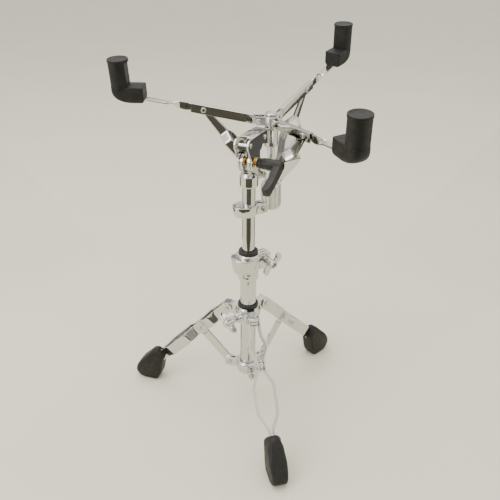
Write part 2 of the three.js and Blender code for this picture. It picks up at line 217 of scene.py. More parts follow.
def plate(outline, y0, y1):
    """An outline of (x, z) carried from y0 to y1."""
    x, z = np.asarray(outline, float).T
    return carried(points_of(x, [[y0], [y1]], z))


def ring_plate(outer, inner, y0, y1):
    """A plate with one hole: the closed profile outer-outer-inner-inner carried round both outlines,
    which have the same number of points."""
    outer, inner = np.asarray(outer), np.asarray(inner)
    flat = np.stack([outer, outer, inner, inner], 1)
    return carried(points_of(flat[..., 0], [y0, y1, y1, y0], flat[..., 1]), loop=True)


def collared(outline, bore, z0, z1, gap=0.0, edge=0.6, draft=0.0, sides=144):
    """A block seen from above as a star-shaped outline with a round bore: at each angle a the closed
    profile runs from the bore to the outline's radius r(a), less the draft at the foot."""
    outline = np.asarray(outline, float)
    angle = np.arctan2(outline[:, 1], outline[:, 0])
    half = math.radians(gap) / 2
    a = np.linspace(half, 2 * np.pi - half, sides, endpoint=gap > 0)
    order = np.argsort(angle % (2 * np.pi))
    reach = np.interp(a, angle[order] % (2 * np.pi), np.hypot(*outline[order].T), period=2 * np.pi)
    t = np.linspace(0, np.pi / 2, 4)
    rim = edge * (1 - np.sin(t))
    drop = edge * (1 - np.cos(t))
    inset = np.concatenate([[0], rim, rim[::-1], [0]])
    height = np.concatenate([[z0], z0 + drop, z1 - drop[::-1], [z1]])
    share = np.concatenate([[0], np.ones(8), [0]])
    lean = draft * (z1 - height) / (z1 - z0)
    radius = bore + share * (reach[:, None] - bore - lean) - inset
    rings = points_of(radius * np.cos(a)[:, None], radius * np.sin(a)[:, None], height)
    return carried(rings, loop=gap == 0)


def strip(path, thickness, half_height, edge=0.35):
    """A flat bar on edge: a rounded rectangle, thickness by twice the half height, carried along a
    level path of (x, y). half_height may change along the path."""
    path = np.asarray(path, float)
    way = np.gradient(path, axis=0)
    way /= np.linalg.norm(way, axis=1, keepdims=True)
    across = np.stack([-way[:, 1], way[:, 0]], -1)
    half = np.broadcast_to(np.asarray(half_height, float), len(path))[:, None]
    s = thickness / 2
    ratio = rounded([[-s, -1], [s, -1], [s, 1], [-s, 1]], [[edge]] * 4, 2)
    centre = path[:, None, :] + across[:, None, :] * ratio[None, :, :1]
    rings = np.concatenate([centre, (half * ratio[:, 1])[..., None]], -1)
    return carried(rings)


def swept(section, path, side):
    """A closed section of (s, t) carried along a path of points: path + s side + t (way x side)."""
    path = np.asarray(path, float)
    way = np.gradient(path, axis=0)
    way /= np.linalg.norm(way, axis=1, keepdims=True)
    side = np.broadcast_to(unit(side), path.shape)
    rise = np.cross(way, side)
    s, t = np.asarray(section, float).T
    return carried(path[:, None] + s[:, None] * side[:, None] + t[:, None] * rise[:, None])


def along_y(shell, x=0.0, z=0.0):
    """A shell drawn about Z laid along Y: (x, y, z) becomes (x, z, y)."""
    points, faces = shell
    return points[:, [0, 2, 1]] + [x, 0, z], faces


def along_x(shell, y=0.0, z=0.0):
    """A shell drawn about Z laid along X: (x, y, z) becomes (z, x, y)."""
    points, faces = shell
    return points[:, [2, 0, 1]] + [0, y, z], faces


def shifted(shell, x=0.0, y=0.0, z=0.0):
    points, faces = shell
    return points + [x, y, z], faces


def spun(shell, degrees, axis=2):
    """A shell turned about its own X, Y or Z (axis 0, 1 or 2)."""
    points, faces = shell
    a = math.radians(degrees)
    p, q = (axis + 1) % 3, (axis + 2) % 3
    out = points.copy()
    out[:, p] = points[:, p] * math.cos(a) - points[:, q] * math.sin(a)
    out[:, q] = points[:, p] * math.sin(a) + points[:, q] * math.cos(a)
    return out, faces


def rivet(half_grip, head_radius, radius=PIN_R, dome=1.8):
    """A pin along Y with a domed head at each end: the head's profile is r = R cos b, h = dome sin b."""
    b = np.linspace(0, np.pi / 2 * 0.97, 8)
    top = np.stack([head_radius * np.cos(b), half_grip + 0.5 + (dome - 0.5) * np.sin(b)], -1)
    under = np.array([[radius, 0], [radius, half_grip], [head_radius, half_grip]])
    half = np.vstack([under, top])
    profile = np.vstack([half[::-1] * [1, -1], half[1:]])
    return along_y(turned(profile, 32))


def screw_head(radius, y, sign):
    """A flat round head standing at y and facing the sign's way. Its cross cut is two thin bars set in its
    face, returned apart to take painted shade where a cut would be.
    """
    rim = rounded([[0.02, 0], [radius, 0], [radius, 1.5], [radius - 1.2, 2.0], [0.02, 2.0]], 0.4,
                  closed=False)
    head = along_y(turned(rim * [1, sign] + [0, y], 32))
    # the cross cut's bars, not a real cut: they carry painted shade
    arms = [shifted(spun(box_shell(2.4, 0.25, 0.45), 90 * k + 20, 1), y=y + sign * 1.95) for k in (0, 1)]
    return [head], arms


def box_shell(half_x, half_y, half_z):
    """A plain rectangular bar about the origin, for small cuts and lugs."""
    corners = [[-half_x, -half_z], [half_x, -half_z], [half_x, half_z], [-half_x, half_z]]
    return plate(corners, -half_y, half_y)


# ---- pieces ----
def add_piece(name, shells, place, finish, body, nodes, bevel=0.0, extra=()):
    """Makes one object of closed shells. extra holds (shells, finish) pairs in other materials."""
    points, faces, slots = [], [], []
    groups = [(shells, finish), *extra]
    count = 0
    for index, (group, _) in enumerate(groups):
        for shell_points, shell_faces in group:
            points.append(place.world(shell_points))
            faces += [[count + corner for corner in face] for face in shell_faces]
            slots += [index] * len(shell_faces)
            count += len(shell_points)
    mesh = bpy.data.meshes.new(name)
    mesh.from_pydata(np.vstack(points), [], faces)
    mesh.polygons.foreach_set("material_index", slots)
    form = bmesh.new()
    form.from_mesh(mesh)
    bmesh.ops.remove_doubles(form, verts=form.verts, dist=2e-6)
    bmesh.ops.recalc_face_normals(form, faces=form.faces)
    form.to_mesh(mesh)
    form.free()
    mesh.polygons.foreach_set("use_smooth", [True] * len(mesh.polygons))
    mesh.set_sharp_from_angle(angle=SHARP_ANGLE)
    for _, group_finish in groups:
        mesh.materials.append(look(group_finish))
    piece = bpy.data.objects.new(name, mesh)
    bpy.context.scene.collection.objects.link(piece)
    if bevel:
        edge = piece.modifiers.new("edge", "BEVEL")
        edge.width = bevel * MM
        edge.segments = 2
        edge.limit_method = "ANGLE"
        edge.angle_limit = SHARP_ANGLE
        edge.harden_normals = True
    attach(piece, body)
    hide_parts(*nodes)
    return piece


# ---- finishes ----
def shader(name):
    """A new material with its principled shader, its node tree and its object coordinates."""
    material = bpy.data.materials.new(name)
    material.use_nodes = True
    tree = material.node_tree
    surface = tree.nodes["Principled BSDF"]
    coordinates = tree.nodes.new("ShaderNodeTexCoord")
    return material, tree, surface, coordinates.outputs["Object"]


def noise(tree, vector, scale, detail=3.0, stretch=(1, 1, 1)):
    """Object coordinates, stretched, into a noise field; scale counts cells per metre."""
    mapping = tree.nodes.new("ShaderNodeMapping")
    mapping.inputs["Scale"].default_value = stretch
    field = tree.nodes.new("ShaderNodeTexNoise")
    field.inputs["Scale"].default_value = scale
    field.inputs["Detail"].default_value = detail
    tree.links.new(vector, mapping.inputs["Vector"])
    tree.links.new(mapping.outputs["Vector"], field.inputs["Vector"])
    return field.outputs["Fac"]


def ramp(tree, factor, low, high, start=0.35, end=0.65):
    """Turns a field into colours from low to high between two of its values."""
    node = tree.nodes.new("ShaderNodeValToRGB")
    node.color_ramp.elements[0].position = start
    node.color_ramp.elements[1].position = end
    node.color_ramp.elements[0].color = (*low, 1)
    node.color_ramp.elements[1].color = (*high, 1)
    tree.links.new(factor, node.inputs["Fac"])
    return node.outputs["Color"]


def spread(tree, factor, low, high, start=0.3, end=0.7):
    """Maps a field from start..end to low..high."""
    node = tree.nodes.new("ShaderNodeMapRange")
    for key, value in zip(("From Min", "From Max", "To Min", "To Max"), (start, end, low, high)):
        node.inputs[key].default_value = value
    tree.links.new(factor, node.inputs["Value"])
    return node.outputs["Result"]


def bump(tree, surface, height, distance, strength, before=None):
    node = tree.nodes.new("ShaderNodeBump")
    node.inputs["Distance"].default_value = distance
    node.inputs["Strength"].default_value = strength
    tree.links.new(height, node.inputs["Height"])
    if before:
        tree.links.new(before, node.inputs["Normal"])
    tree.links.new(node.outputs["Normal"], surface.inputs["Normal"])
    return node.outputs["Normal"]


def plated(name, color, rough, ripple, scratch):
    """Bright plating: a faint mottle in colour and gloss, slow ripples and fine hairline scratches."""
    material, tree, surface, place = shader(name)
    surface.inputs["Metallic"].default_value = 1.0
    darker = tuple(0.93 * c for c in color)
    tree.links.new(ramp(tree, noise(tree, place, 38), darker, color), surface.inputs["Base Color"])
    gloss = spread(tree, noise(tree, place, 55, 5), rough * 0.7, rough * 1.5)
    tree.links.new(gloss, surface.inputs["Roughness"])
    waves = bump(tree, surface, noise(tree, place, 70, 1), 0.0006, ripple)
    bump(tree, surface, noise(tree, place, 900, 2, (1, 1, 0.06)), 0.00004, scratch, waves)
    return material


def moulded(name, color, worn, rough, grain, depth):
    """Moulded rubber or nylon, and the painted shade finish: dusty, paler patches and a fine matt grain."""
    material, tree, surface, place = shader(name)
    dust = noise(tree, place, 90, 6)
    tree.links.new(ramp(tree, dust, color, worn, 0.42, 0.75), surface.inputs["Base Color"])
    tree.links.new(spread(tree, noise(tree, place, 140, 4), rough - 0.08, rough + 0.1),
                   surface.inputs["Roughness"])
    surface.inputs["Specular IOR Level"].default_value = 0.32
    fine = bump(tree, surface, noise(tree, place, grain, 3), 0.0002, depth)
    bump(tree, surface, noise(tree, place, 160, 2), 0.0006, 0.12, fine)
    return material


class FinishColours(bpy.types.PropertyGroup):
    chrome: FloatVectorProperty(
        name="Chrome", description="Colour of the bright plating", subtype="COLOR",
        default=(0.64, 0.635, 0.61), min=0, max=1)
    satin: FloatVectorProperty(
        name="Satin", description="Colour of the satin nickel nut and rivets", subtype="COLOR",
        default=(0.60, 0.595, 0.57), min=0, max=1)
    brass: FloatVectorProperty(
        name="Brass", description="Colour of the friction rings", subtype="COLOR",
        default=(0.76, 0.46, 0.13), min=0, max=1)
    nylon: FloatVectorProperty(
        name="Nylon", description="Colour of the T-handle and the bushings", subtype="COLOR",
        default=(0.012, 0.0117, 0.0102), min=0, max=1)
    rubber: FloatVectorProperty(
        name="Rubber", description="Colour of the grips and the feet", subtype="COLOR",
        default=(0.0064, 0.0062, 0.0053), min=0, max=1)


LOOKS = {}


def look(name):
    """The finish of that name, made once from the colours in the panel."""
    if name not in LOOKS:
        colours = bpy.context.scene.stand_colours
        pale = [tuple(2.1 * c for c in colours.nylon), tuple(2.2 * c for c in colours.rubber)]
        LOOKS.update(
            chrome=plated("chrome", tuple(colours.chrome), 0.055, 0.16, 0.05),
            satin=plated("satin_steel", tuple(colours.satin), 0.3, 0.1, 0.2),
            brass=plated("brass", tuple(colours.brass), 0.16, 0.1, 0.2),
            nylon=moulded("black_nylon", tuple(colours.nylon), pale[0], 0.42, 2600, 0.25),
            rubber=moulded("black_rubber", tuple(colours.rubber), pale[1], 0.52, 2200, 0.3),
            # painted shade: a near-black finish for thin bars and discs that stand in for the shade inside
            # slits, holes and cross cuts
            shade=moulded("painted_recess_shade", (0.008, 0.008, 0.008), (0.012, 0.012, 0.012), 0.7, 1500, 0.2),
        )
    return LOOKS[name]


# ---- tubes, bushings ----
class STAND_OT_tubes(bpy.types.Operator):
    """Build the base tube, the upper tube and the basket tube"""

    bl_idname = "stand.tubes"
    bl_label = "Tubes"

    def execute(self, context):
        for name, body, radius in (("base_tube", "base", BASE_TUBE_R), ("upper_tube", "upper", UPPER_TUBE_R)):
            low, high = (corner.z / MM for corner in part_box(name))
            add_piece(f"{name}_drawn", [sleeve(radius - 1.6, radius, low, high, 0.5)], COLUMN, "chrome",
                      body, [name])
        threads = np.arange(-146, -30, 1.25)
        crest = np.stack([np.tile([5.75, 6.0], len(threads)),
                          (threads[:, None] + [0, 0.62]).ravel()], -1)
        outer = np.vstack([crest, [[6.0, 10.4], [5.6, 11.0]]])
        profile = np.vstack([outer, [[4.6, 11.0], [4.4, 10.6], [4.4, -146]]])
        add_piece("basket_tube_threaded", [bored(profile, 40)], HUB, "chrome", "tilt", ["basket_tube"])
        return {"FINISHED"}


class STAND_OT_bushings(bpy.types.Operator):
    """Build the nylon bushings and the brass friction rings"""

    bl_idname = "stand.bushings"
    bl_label = "Bushings"

    def execute(self, context):
        inner = UPPER_BORE
        flange = rounded([[inner, 250.5], [12.7, 250.5], [12.7, 280.3], [14.6, 280.3], [14.6, 284.5],
                          [inner, 284.5]], 0.7)
        add_piece("clamp_bushing_moulded", [bored(flange, gap=6)], COLUMN, "nylon", "bushing",
                  ["clamp_bushing"])
        lip = rounded([[13.0, 186.3], [16, 186.3], [16, 190.6], [14.6, 192], [13.0, 192]], 0.6)
        add_piece("collar_bushing_moulded", [bored(lip, gap=5)], COLUMN, "nylon", "collar",
                  ["collar_bushing"])
        ring = rounded([[3.8, -13.2], [6.9, -13.2], [6.9, -11.0], [3.8, -11.0]], 0.5)
        spacer = rounded([[4.3, -2.6], [5.7, -2.6], [5.7, 2.6], [4.3, 2.6]], 0.4)
        add_piece("brass_rings", [along_y(bored(ring, 48)), along_y(bored(spacer, 48))], TILTER, "brass",
                  "tilt", ["brass_washer"])
        return {"FINISHED"}


# ---- height clamp and memory lock ----
CLAMP_TOP = rounded(
    [[36, -8.5], [36, 8.5], [17, 10], [8, 17.5], [-9, 18.8], [-20, 16.5], [-26, 9], [-26, -5], [-13, -18.5],
     [9, -17], [17, -10]], 1.6)
LOCK_TOP = rounded(
    [[26, -7], [26, 6.8], [12, 8], [6, 13.5], [-8, 15], [-18, 13.5], [-23.5, 7], [-23, -7], [-11, -15],
     [6, -14], [12, -8]], 1.4)


class STAND_OT_height_clamp(bpy.types.Operator):
    """Build the height clamp with its bolt and wing nut"""

    bl_idname = "stand.height_clamp"
    bl_label = "Height Clamp"

    def execute(self, context):
        nut_axis = JOINTS["clamp_nut_turn"]["axis"]
        ear_way = np.cross(UP, nut_axis)
        if ear_way @ (np.array(JOINTS["clamp_nut_turn"]["pos_m"]) - COLUMN.origin) < 0:
            ear_way = -ear_way
        place = column_place(ear_way, 0)
        bore = BASE_BORE
        barrel = rounded([[bore, 236], [15.6, 236], [16.1, 237], [16.1, 251], [bore, 251]], 0.7)
        block = collared(CLAMP_TOP, bore, 249.5, 274, gap=5, edge=1.2, draft=3.2)
        rim = rounded([[bore, 273], [18.3, 273], [18.3, 277.5], [16.5, 280], [bore, 280]], 0.9)
        # painted shade: two thin near-black boxes set into the casting stand in for the shade inside a slit
        slit = [spun(shifted(box_shell(0.5, 0.5, 3.4), y=-16, z=245.6), -57),
                spun(shifted(box_shell(4.2, 0.5, 0.5), x=3.8, y=-15.9, z=242.4), -57)]
        add_piece("height_clamp_cast", [bored(barrel), block, bored(rim, gap=5)], place, "chrome", "base",
                  ["height_clamp"], 0.5, [(slit, "shade")])
        bolt = Place(place.world([29, 0, 262]), place.axes[0], UP)
        hexagon = circle(6.6, sides=6)
        add_piece("clamp_bolt_hex", [along_y(rod(3.5, -24.5, 10, 0.8)), plate(hexagon, 9.3, 13.5)], bolt,
                  "chrome", "base", ["clamp_bolt"], 0.4)
        barrel = rounded([[3.9, -27.5], [5.9, -27.5], [6.6, -26], [7.2, -12.5], [6.4, -9.6], [3.9, -9.6]],
                         0.6)
        wing = rounded([[4, -3.4], [10, -4.6], [17, -3.5], [20.4, 2], [18.5, 7.5], [13.5, 7.4], [10, 3.6],
                        [4, 3.4]], 2.6, 5)
        wings = [spun(plate(wing, -25.2, -19.8), turn - NUT_WING_TURN, 1) for turn in (0, 180)]
        add_piece("clamp_wing_nut_cast", [along_y(bored(barrel, 48)), *wings], bolt, "chrome", "clamp_nut",
                  ["clamp_wing_nut"], 1.2)
        return {"FINISHED"}


class STAND_OT_memory_lock(bpy.types.Operator):
    """Build the memory lock ring on the upper tube with its key screw"""

    bl_idname = "stand.memory_lock"
    bl_label = "Memory Lock"

    def execute(self, context):
        low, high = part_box("memory_lock_screw")
        ear_way = np.array((low + high) / 2) - COLUMN.origin
        place = column_place(unit([ear_way[0], ear_way[1], 0]), 0)
        bore = UPPER_BORE
        block = collared(LOCK_TOP, bore, 343, 359, gap=6, edge=1.0, draft=2.2)
        hinge = rod(3.1, 342.2, 359.8, 0.8)
        add_piece("memory_lock_cast", [block, shifted(hinge, x=-17)], place, "chrome", "upper",
                  ["memory_lock"], 0.5)
        screw = Place(place.world([21, 0, 351]), place.axes[0], UP)
        square = [[-2.6, -2.6], [2.6, -2.6], [2.6, 2.6], [-2.6, 2.6]]
        shells = [along_y(rod(PIN_R, -9, 8.2, 0.5)), along_y(rod(4.6, -10, -6.2, 0.7)),
                  plate(square, -15, -9)]
        add_piece("memory_lock_key_screw", shells, screw, "satin", "upper", ["memory_lock_screw"], 0.35)
        return {"FINISHED"}


# ---- tripod ----
class STAND_OT_tripod_collar(bpy.types.Operator):
    """Build the sliding collar with its leg tongues, its pins and its wing bolt"""

    bl_idname = "stand.tripod_collar"
    bl_label = "Tripod Collar"

    def execute(self, context):
        bore = BASE_BORE
        body = rounded([[bore, 157], [17.3, 157], [18.6, 159], [18.6, 170], [19.9, 173], [19.9, 180],
                        [17.2, 186], [bore, 186]], 0.9)
        shells = [bored(body)]
        for leg in LEGS.values():
            level = leg.origin[2] / MM
            tongue = rounded([[14.5, -9], [30, -9], [42.4, -7.5], [42.4, 7.5], [30, 9], [14.5, 9]],
                             [[0.5], [7], [9], [9], [7], [0.5]], 6)
            reach, turn = reach_and_turn(leg)
            eye = along_y(bored(rounded([[2.8, -7.2], [6.2, -7.2], [6.2, 7.2], [2.8, 7.2]], 0.5), 40), reach)
            for piece in (plate(tongue, -6, 6), eye):
                shells.append(spun(shifted(piece, z=level), turn))
        _, bolt_turn = reach_and_turn(WING_BOLT)
        boss = bored(rounded([[4.2, 17], [8.4, 17], [7.4, 26.8], [4.2, 26.8]], 0.8), 48)
        shells.append(spun(shifted(along_x(boss), z=WING_BOLT.origin[2] / MM), bolt_turn))
        add_piece("tripod_collar_cast", shells, COLUMN, "chrome", "collar", ["tripod_collar"], 0.6)
        for name, leg in LEGS.items():
            add_piece(f"collar_rivet_{name}", [rivet(9.2, 4.6)], leg, "satin", "collar",
                      [f"collar_pin_{name}"])
        shaft = along_x(rod(3.9, BASE_BORE, 49, 0.6))
        barrel = along_x(turned(rounded([[0.02, 32], [6.0, 32], [7.0, 34.5], [6.4, 48], [4.8, 50],
                                         [0.02, 50]], 0.9, closed=False), 40))
        wing = rounded([[35, 2.5], [37.5, 9.5], [38, 17], [42.5, 20.8], [47, 18.5], [48.5, 11], [49.5, 2.5]],
                       3.0, 5)
        wings = [spun(plate(wing, -2.4, 2.4), turn + BOLT_WING_TURN, 0) for turn in (0, 180)]
        add_piece("collar_wing_bolt_cast", [barrel, *wings], WING_BOLT, "chrome", "collar_bolt",
                  ["collar_wing_bolt"], 1.1, [([shaft], "satin")])
        return {"FINISHED"}


class STAND_OT_lower_hub(bpy.types.Operator):
    """Build the lower hub with its three forks and their pins"""

    bl_idname = "stand.lower_hub"
    bl_label = "Lower Hub"

    def execute(self, context):
        bore = BASE_BORE
        ring = rounded([[bore, 58], [16.6, 58], [18.2, 60.5], [18.2, 75.5], [16.4, 78], [bore, 78]], 0.9)
        shells = [bored(ring)]
        for stay in STAYS.values():
            reach, turn = reach_and_turn(stay)
            level = stay.origin[2] / MM
            cheek = rounded([[14.8, -8], [reach, -7.6], [reach + 7.4, -7.6], [reach + 7.4, 7.6], [reach, 7.6],
                             [14.8, 8]], [[0.4], [0.4], [7], [7], [0.4], [0.4]], 6)
            web = [[14.8, -8], [22, -7.4], [22, 7.4], [14.8, 8]]
            for piece in (plate(cheek, 1.8, 4.9), plate(cheek, -4.9, -1.8), plate(web, -3, 3)):
                shells.append(spun(shifted(piece, z=level), turn))
        add_piece("lower_hub_cast", shells, COLUMN, "chrome", "base", ["lower_hub"], 0.6)
        for name, stay in STAYS.items():
            add_piece(f"hub_rivet_{name}", [rivet(5.1, 4.1)], stay, "satin", f"stay_{name}",
                      [f"hub_pin_{name}"])
        return {"FINISHED"}


LEG_BENDS = [[-9, 7.6], [24, 8.3], [40, 14.8], [62, 5.4], [78, 5.0], [98, 15.8], [140, 15.0], [163, 2.7],
             [LEG_END_U, 2.7]]


class STAND_OT_legs(bpy.types.Operator):
    """Build the bent double strips of the legs and their rivets"""

    bl_idname = "stand.legs"
    bl_label = "Legs"

    def execute(self, context):
        half = LEG_HALF_HEIGHT
        bends = rounded(LEG_BENDS, 6.0, 6, closed=False)
        ahead = bends[bends[:, 0] > 0.5]
        u = half * -np.cos(np.linspace(0, np.pi / 2, 12))
        nose = np.stack([u, np.interp(u, bends[:, 0], bends[:, 1])], -1)
        path = np.vstack([nose, ahead])
        height = np.where(path[:, 0] < 0, np.sqrt(np.maximum(half**2 - path[:, 0] ** 2, 0.04)), half)
        for name, leg in LEGS.items():
            place = leg.pitched(-LEG_SLOPE)
            for letter, side in (("a", 1), ("b", -1)):
                add_piece(f"leg_bent_{letter}_{name}", [strip(path * [1, side], 2.2, height)], place,
                          "chrome", f"leg_{name}", [f"leg_strip_{letter}_{name}"], 0.3)
            spacers = [along_y(rod(6.5, sign * 1.8, sign * 3.7, 0.4)) for sign in (1, -1)]
            shells = [shifted(shell, x=LEG_STAY_U) for shell in (rivet(6.6, 4.6), *spacers)]
            add_piece(f"leg_stay_rivet_{name}", shells, place, "satin", f"leg_{name}",
                      [f"leg_rivet_{name}"])
        return {"FINISHED"}


class STAND_OT_stays(bpy.types.Operator):
    """Build the flat stays between the lower hub and the legs"""

    bl_idname = "stand.stays"
    bl_label = "Stays"

    def execute(self, context):
        length = STAY_LENGTH
        bar = rounded([[-7, -7], [length - 13, -7], [length - 13, 7], [-7, 7]],
                      [[7], [0.3], [0.3], [7]], 8)
        outer = rounded([[length - 15, -7], [length + 7, -7], [length + 7, 7], [length - 15, 7]],
                        [[0.3], [7], [7], [0.3]], 11)
        inner = rounded([[length - 8.7, -5.1], [length + 4, -5.1], [length + 4, 2.9], [length - 8.7, 2.9]],
                        3.9, 11)
        for name, stay in STAYS.items():
            add_piece(f"stay_flat_{name}", [plate(bar, -1.5, 1.5), ring_plate(outer, inner, -1.5, 1.5)],
                      stay.pitched(STAY_SLOPE), "chrome", f"stay_{name}", [f"stay_{name}"], 0.4)
        return {"FINISHED"}


class FootSizes(bpy.types.PropertyGroup):
    half_width: FloatProperty(
        name="Half Width", description="Half the width of a foot on the floor", default=13 * MM,
        min=5 * MM, max=13 * MM, unit="LENGTH")
    chamfer: FloatProperty(
        name="Chamfer", description="Width of the slanting edge between a foot's side and its back",
        default=4.5 * MM, min=1 * MM, max=8 * MM, unit="LENGTH")


class STAND_OT_feet(bpy.types.Operator):
    """Build the three rubber feet"""

    bl_idname = "stand.feet"
    bl_label = "Feet"

    def execute(self, context):
        """The side outline, inset by c(1 - cos b) at y = w - c + c sin b, narrows with height."""
        sizes = context.scene.stand_foot
        width, chamfer = sizes.half_width / MM, sizes.chamfer / MM
        outline = rounded([[158.4, 12], [165.2, 0.2], [190, 0.2], [199.7, 3.8], [205.4, 11.2], [203.6, 22],
                           [196.6, 34], [170.0, 61.6], [162, 64.8], [150.5, 51.5]],
                          [[4], [3], [4], [3], [4], [5], [8], [4], [3], [4]], 5)
        middle = np.array([176.0, 28.0])
        b = np.linspace(0, np.pi / 2, 5)
        inset = chamfer * (1 - np.cos(b))
        level = width - chamfer + chamfer * np.sin(b)
        y = np.concatenate([-level[::-1], level])
        shrink = 1 - np.concatenate([inset[::-1], inset])[:, None, None] / 24.0
        flat = middle + (outline[None] - middle) * shrink
        top = np.clip((flat[..., 1] - 50) / 14, 0, 1)
        toe = np.clip((flat[..., 0] - 190) / 16, 0, 1)
        taper = (1 - 0.55 * top) * (1 - 0.10 * toe)
        rings = np.stack([flat[..., 0], y[:, None] * taper, flat[..., 1]], -1)
        ridge = rounded([[-6, -1.1], [6, -1.1], [6, 1.1], [-6, 1.1]], 0.9)
        ribs = [shifted(spun(plate(ridge, -0.8, 0.8), 90), x=204.6, z=14.5)]
        for name, leg in LEGS.items():
            place = Place([*COLUMN.origin[:2], 0.0], leg.axes[0], UP)
            add_piece(f"foot_moulded_{name}", [carried(rings), *ribs], place, "rubber", f"leg_{name}",
                      [f"foot_{name}"], 0.8)
        return {"FINISHED"}


# ---- tilter ----
class STAND_OT_tilter(bpy.types.Operator):
    """Build the tilter's base, its bracket and its bolt"""

    bl_idname = "stand.tilter"
    bl_label = "Tilter"

    def execute(self, context):
        place = column_place(TILTER.axes[0], 0)
        pivot = TILTER.origin[2] / MM
        bore = UPPER_BORE
        socket = rounded([[bore, 387], [12.6, 387], [13.4, 389], [13.4, 403], [11, 408], [3, 409], [3, 402],
                          [bore, 402]], 0.7)
        a = np.radians(np.linspace(-50, 230, 40))
        ear = np.vstack([15.5 * np.stack([np.cos(a), np.sin(a)], -1), [[-11, -19], [11, -19]]])
        ears = [shifted(plate(ear, y0, y0 + 4.6), z=pivot) for y0 in (3.2, -7.8)]
        add_piece("tilter_base_cast", [bored(socket), *ears], place, "chrome", "upper", ["tilter_base"],
                  0.8)
        a = np.radians(np.linspace(20, -200, 32))
        lobe = 15 * np.stack([np.cos(a), np.sin(a)], -1)
        corner = np.radians(np.linspace(225, 90, 12))
        nose = np.stack([-20 + 8.5 * np.cos(corner), 29 + 8.5 * np.sin(corner)], -1)
        outline = np.vstack([nose, rounded([[-20, 37.4], [20, 37], [53, 35], [53, 12], [24, 20], [17, 12]],
                                           3, 4)[4:], lobe, [[-21, 14]]])
        plates = [plate(outline, y0, y0 + 2.7) for y0 in (-10.9, 8.2)]
        web = swept(rounded([[-10.9, -1.3], [10.9, -1.3], [10.9, 1.3], [-10.9, 1.3]], 0.6),
                    rounded([[-8, 0, 36.2], [20, 0, 35.9], [51, 0, 33.6], [51.6, 0, 14]], 4, 6, closed=False),
                    [0, 1, 0])
        hub_local = (HUB.origin - TILTER.origin) @ TILTER.axes.T / MM
        way = TILTER.axes @ BASKET_UP
        side = unit(np.cross(way, [0, 1, 0]))
        ring = bored(rounded([[BASKET_BORE, -40], [9, -40], [10.2, -38], [10.2, -11], [9, -9],
                              [BASKET_BORE, -9]], 0.7), 56)
        basis = np.array([side, np.cross(way, side), way])
        boss = (hub_local + ring[0] @ basis, ring[1])
        rivets = [shifted(rivet(11, 3.4, 2.2), x=x, z=z) for x, z in ((-20.5, 29.5), (30, 28))]
        add_piece("tilter_bracket_cast", [*plates, web, boss, *rivets], TILTER, "chrome", "tilt",
                  ["tilter_bracket"], 0.7)
        nut = plate(circle(7.4, sides=6), 11.2, 15)
        add_piece("tilter_bolt_hex", [along_y(rod(3.5, -49, 17.5, 0.8)), nut], TILTER, "chrome", "tilt",
                  ["tilter_bolt"], 0.5)
        return {"FINISHED"}


class STAND_OT_handle(bpy.types.Operator):
    """Build the moulded T-handle"""

    bl_idname = "stand.handle"
    bl_label = "T-Handle"

    def execute(self, context):
        """The hub is turned; the lever is a rounded section carried along a bent path and tapered."""
        hub = rounded([[3.8, -13.7], [6.9, -13.7], [7.2, -20], [8.0, -21.5], [8.0, -48.5], [6.6, -50.4],
                       [3.8, -50.4]], 0.8)
        t = np.linspace(0, 1, 24)[:, None]
        start, end = np.array([1.5, -43.8, -1.0]), np.array([-43.0, -41.5, -25.0])
        path = start + (end - start) * t + np.array([0, 0, -2.2]) * np.sin(np.pi * t)
        wide = 8.0 - 1.2 * np.sin(np.pi * t) ** 2 - 0.6 * t
        deep = 5.6 - 0.6 * t
        tip = np.clip((t - 0.93) / 0.07, 0, 1)
        rim = np.sqrt(np.clip(1 - 0.5 * tip**2, 0.05, 1))
        section = rounded([[-1, -1], [1, -1], [1, 1], [-1, 1]], [[0.28]] * 4, 5)
        way = unit(end - start)
        side = unit(np.cross([0, 1, 0], way))
        rings = (path[:, None] + section[None, :, :1] * (wide * rim)[:, None] * side
                 + section[None, :, 1:] * (deep * rim)[:, None] * np.array([0, 1, 0]))
        shells = [along_y(bored(hub, 56)), carried(rings)]
        add_piece("tilter_handle_moulded", shells, TILTER, "nylon", "handle", ["tilter_handle"], 0.6)
        return {"FINISHED"}


# ---- basket ----
def fork_casting(z, pivot_r, cheeks, pin_half):
    """A sleeve round the basket tube. Towards each arm it has rounded cheeks, each from y0 to y1, and a
    rivet."""
    bore = BASKET_BORE
    shells = [bored(rounded([[bore, z - 7], [9.4, z - 7], [10.4, z - 5.5], [10.4, z + 5.5], [9.4, z + 7],
                             [bore, z + 7]], 0.7), 56)]
    pins = []
    for arm in ARMS.values():
        turn = math.degrees(math.atan2(arm.axes[0] @ HUB.axes[1], arm.axes[0] @ HUB.axes[0]))
        tongue = rounded([[6.4, -6.4], [pivot_r + 6, -6], [pivot_r + 6, 6], [6.4, 6.4]],
                         [[0.4], [6], [6], [0.4]], 7)
        shells += [spun(shifted(plate(tongue, y0, y1), z=z), turn) for y0, y1 in cheeks]
        pins.append(spun(shifted(rivet(pin_half, 3.7, 2.0), x=pivot_r, z=z), turn))
    return shells, pins


class STAND_OT_basket_hub(bpy.types.Operator):
    """Build the basket's hub and the strut slider"""

    bl_idname = "stand.basket_hub"
    bl_label = "Basket Hub and Slider"

    def execute(self, context):
        reach = np.linalg.norm(ARMS[ARM_NAMES[0]].origin - HUB.origin) / MM
        shells, pins = fork_casting(0, reach, ((-5.9, -3.5), (3.5, 5.9)), 6.1)
        dome = rounded([[0.02, 8], [8.6, 8], [8.6, 10.2], [7.4, 11.4], [0.02, 11.6]], 0.6, closed=False)
        cap = turned(dome, 48)
        add_piece("basket_hub_cast", [*shells, cap], HUB, "chrome", "tilt", ["basket_hub"], 0.6, [(pins,
                  "satin")])
        shells, pins = fork_casting(STRUT_PIVOT_Z, STRUT_PIVOT_R, ((-3.9, 3.9),), 6.8)
        add_piece("strut_slider_cast", shells, HUB, "chrome", "slider", ["strut_slider"], 0.6, [(pins,
                  "satin")])
        return {"FINISHED"}


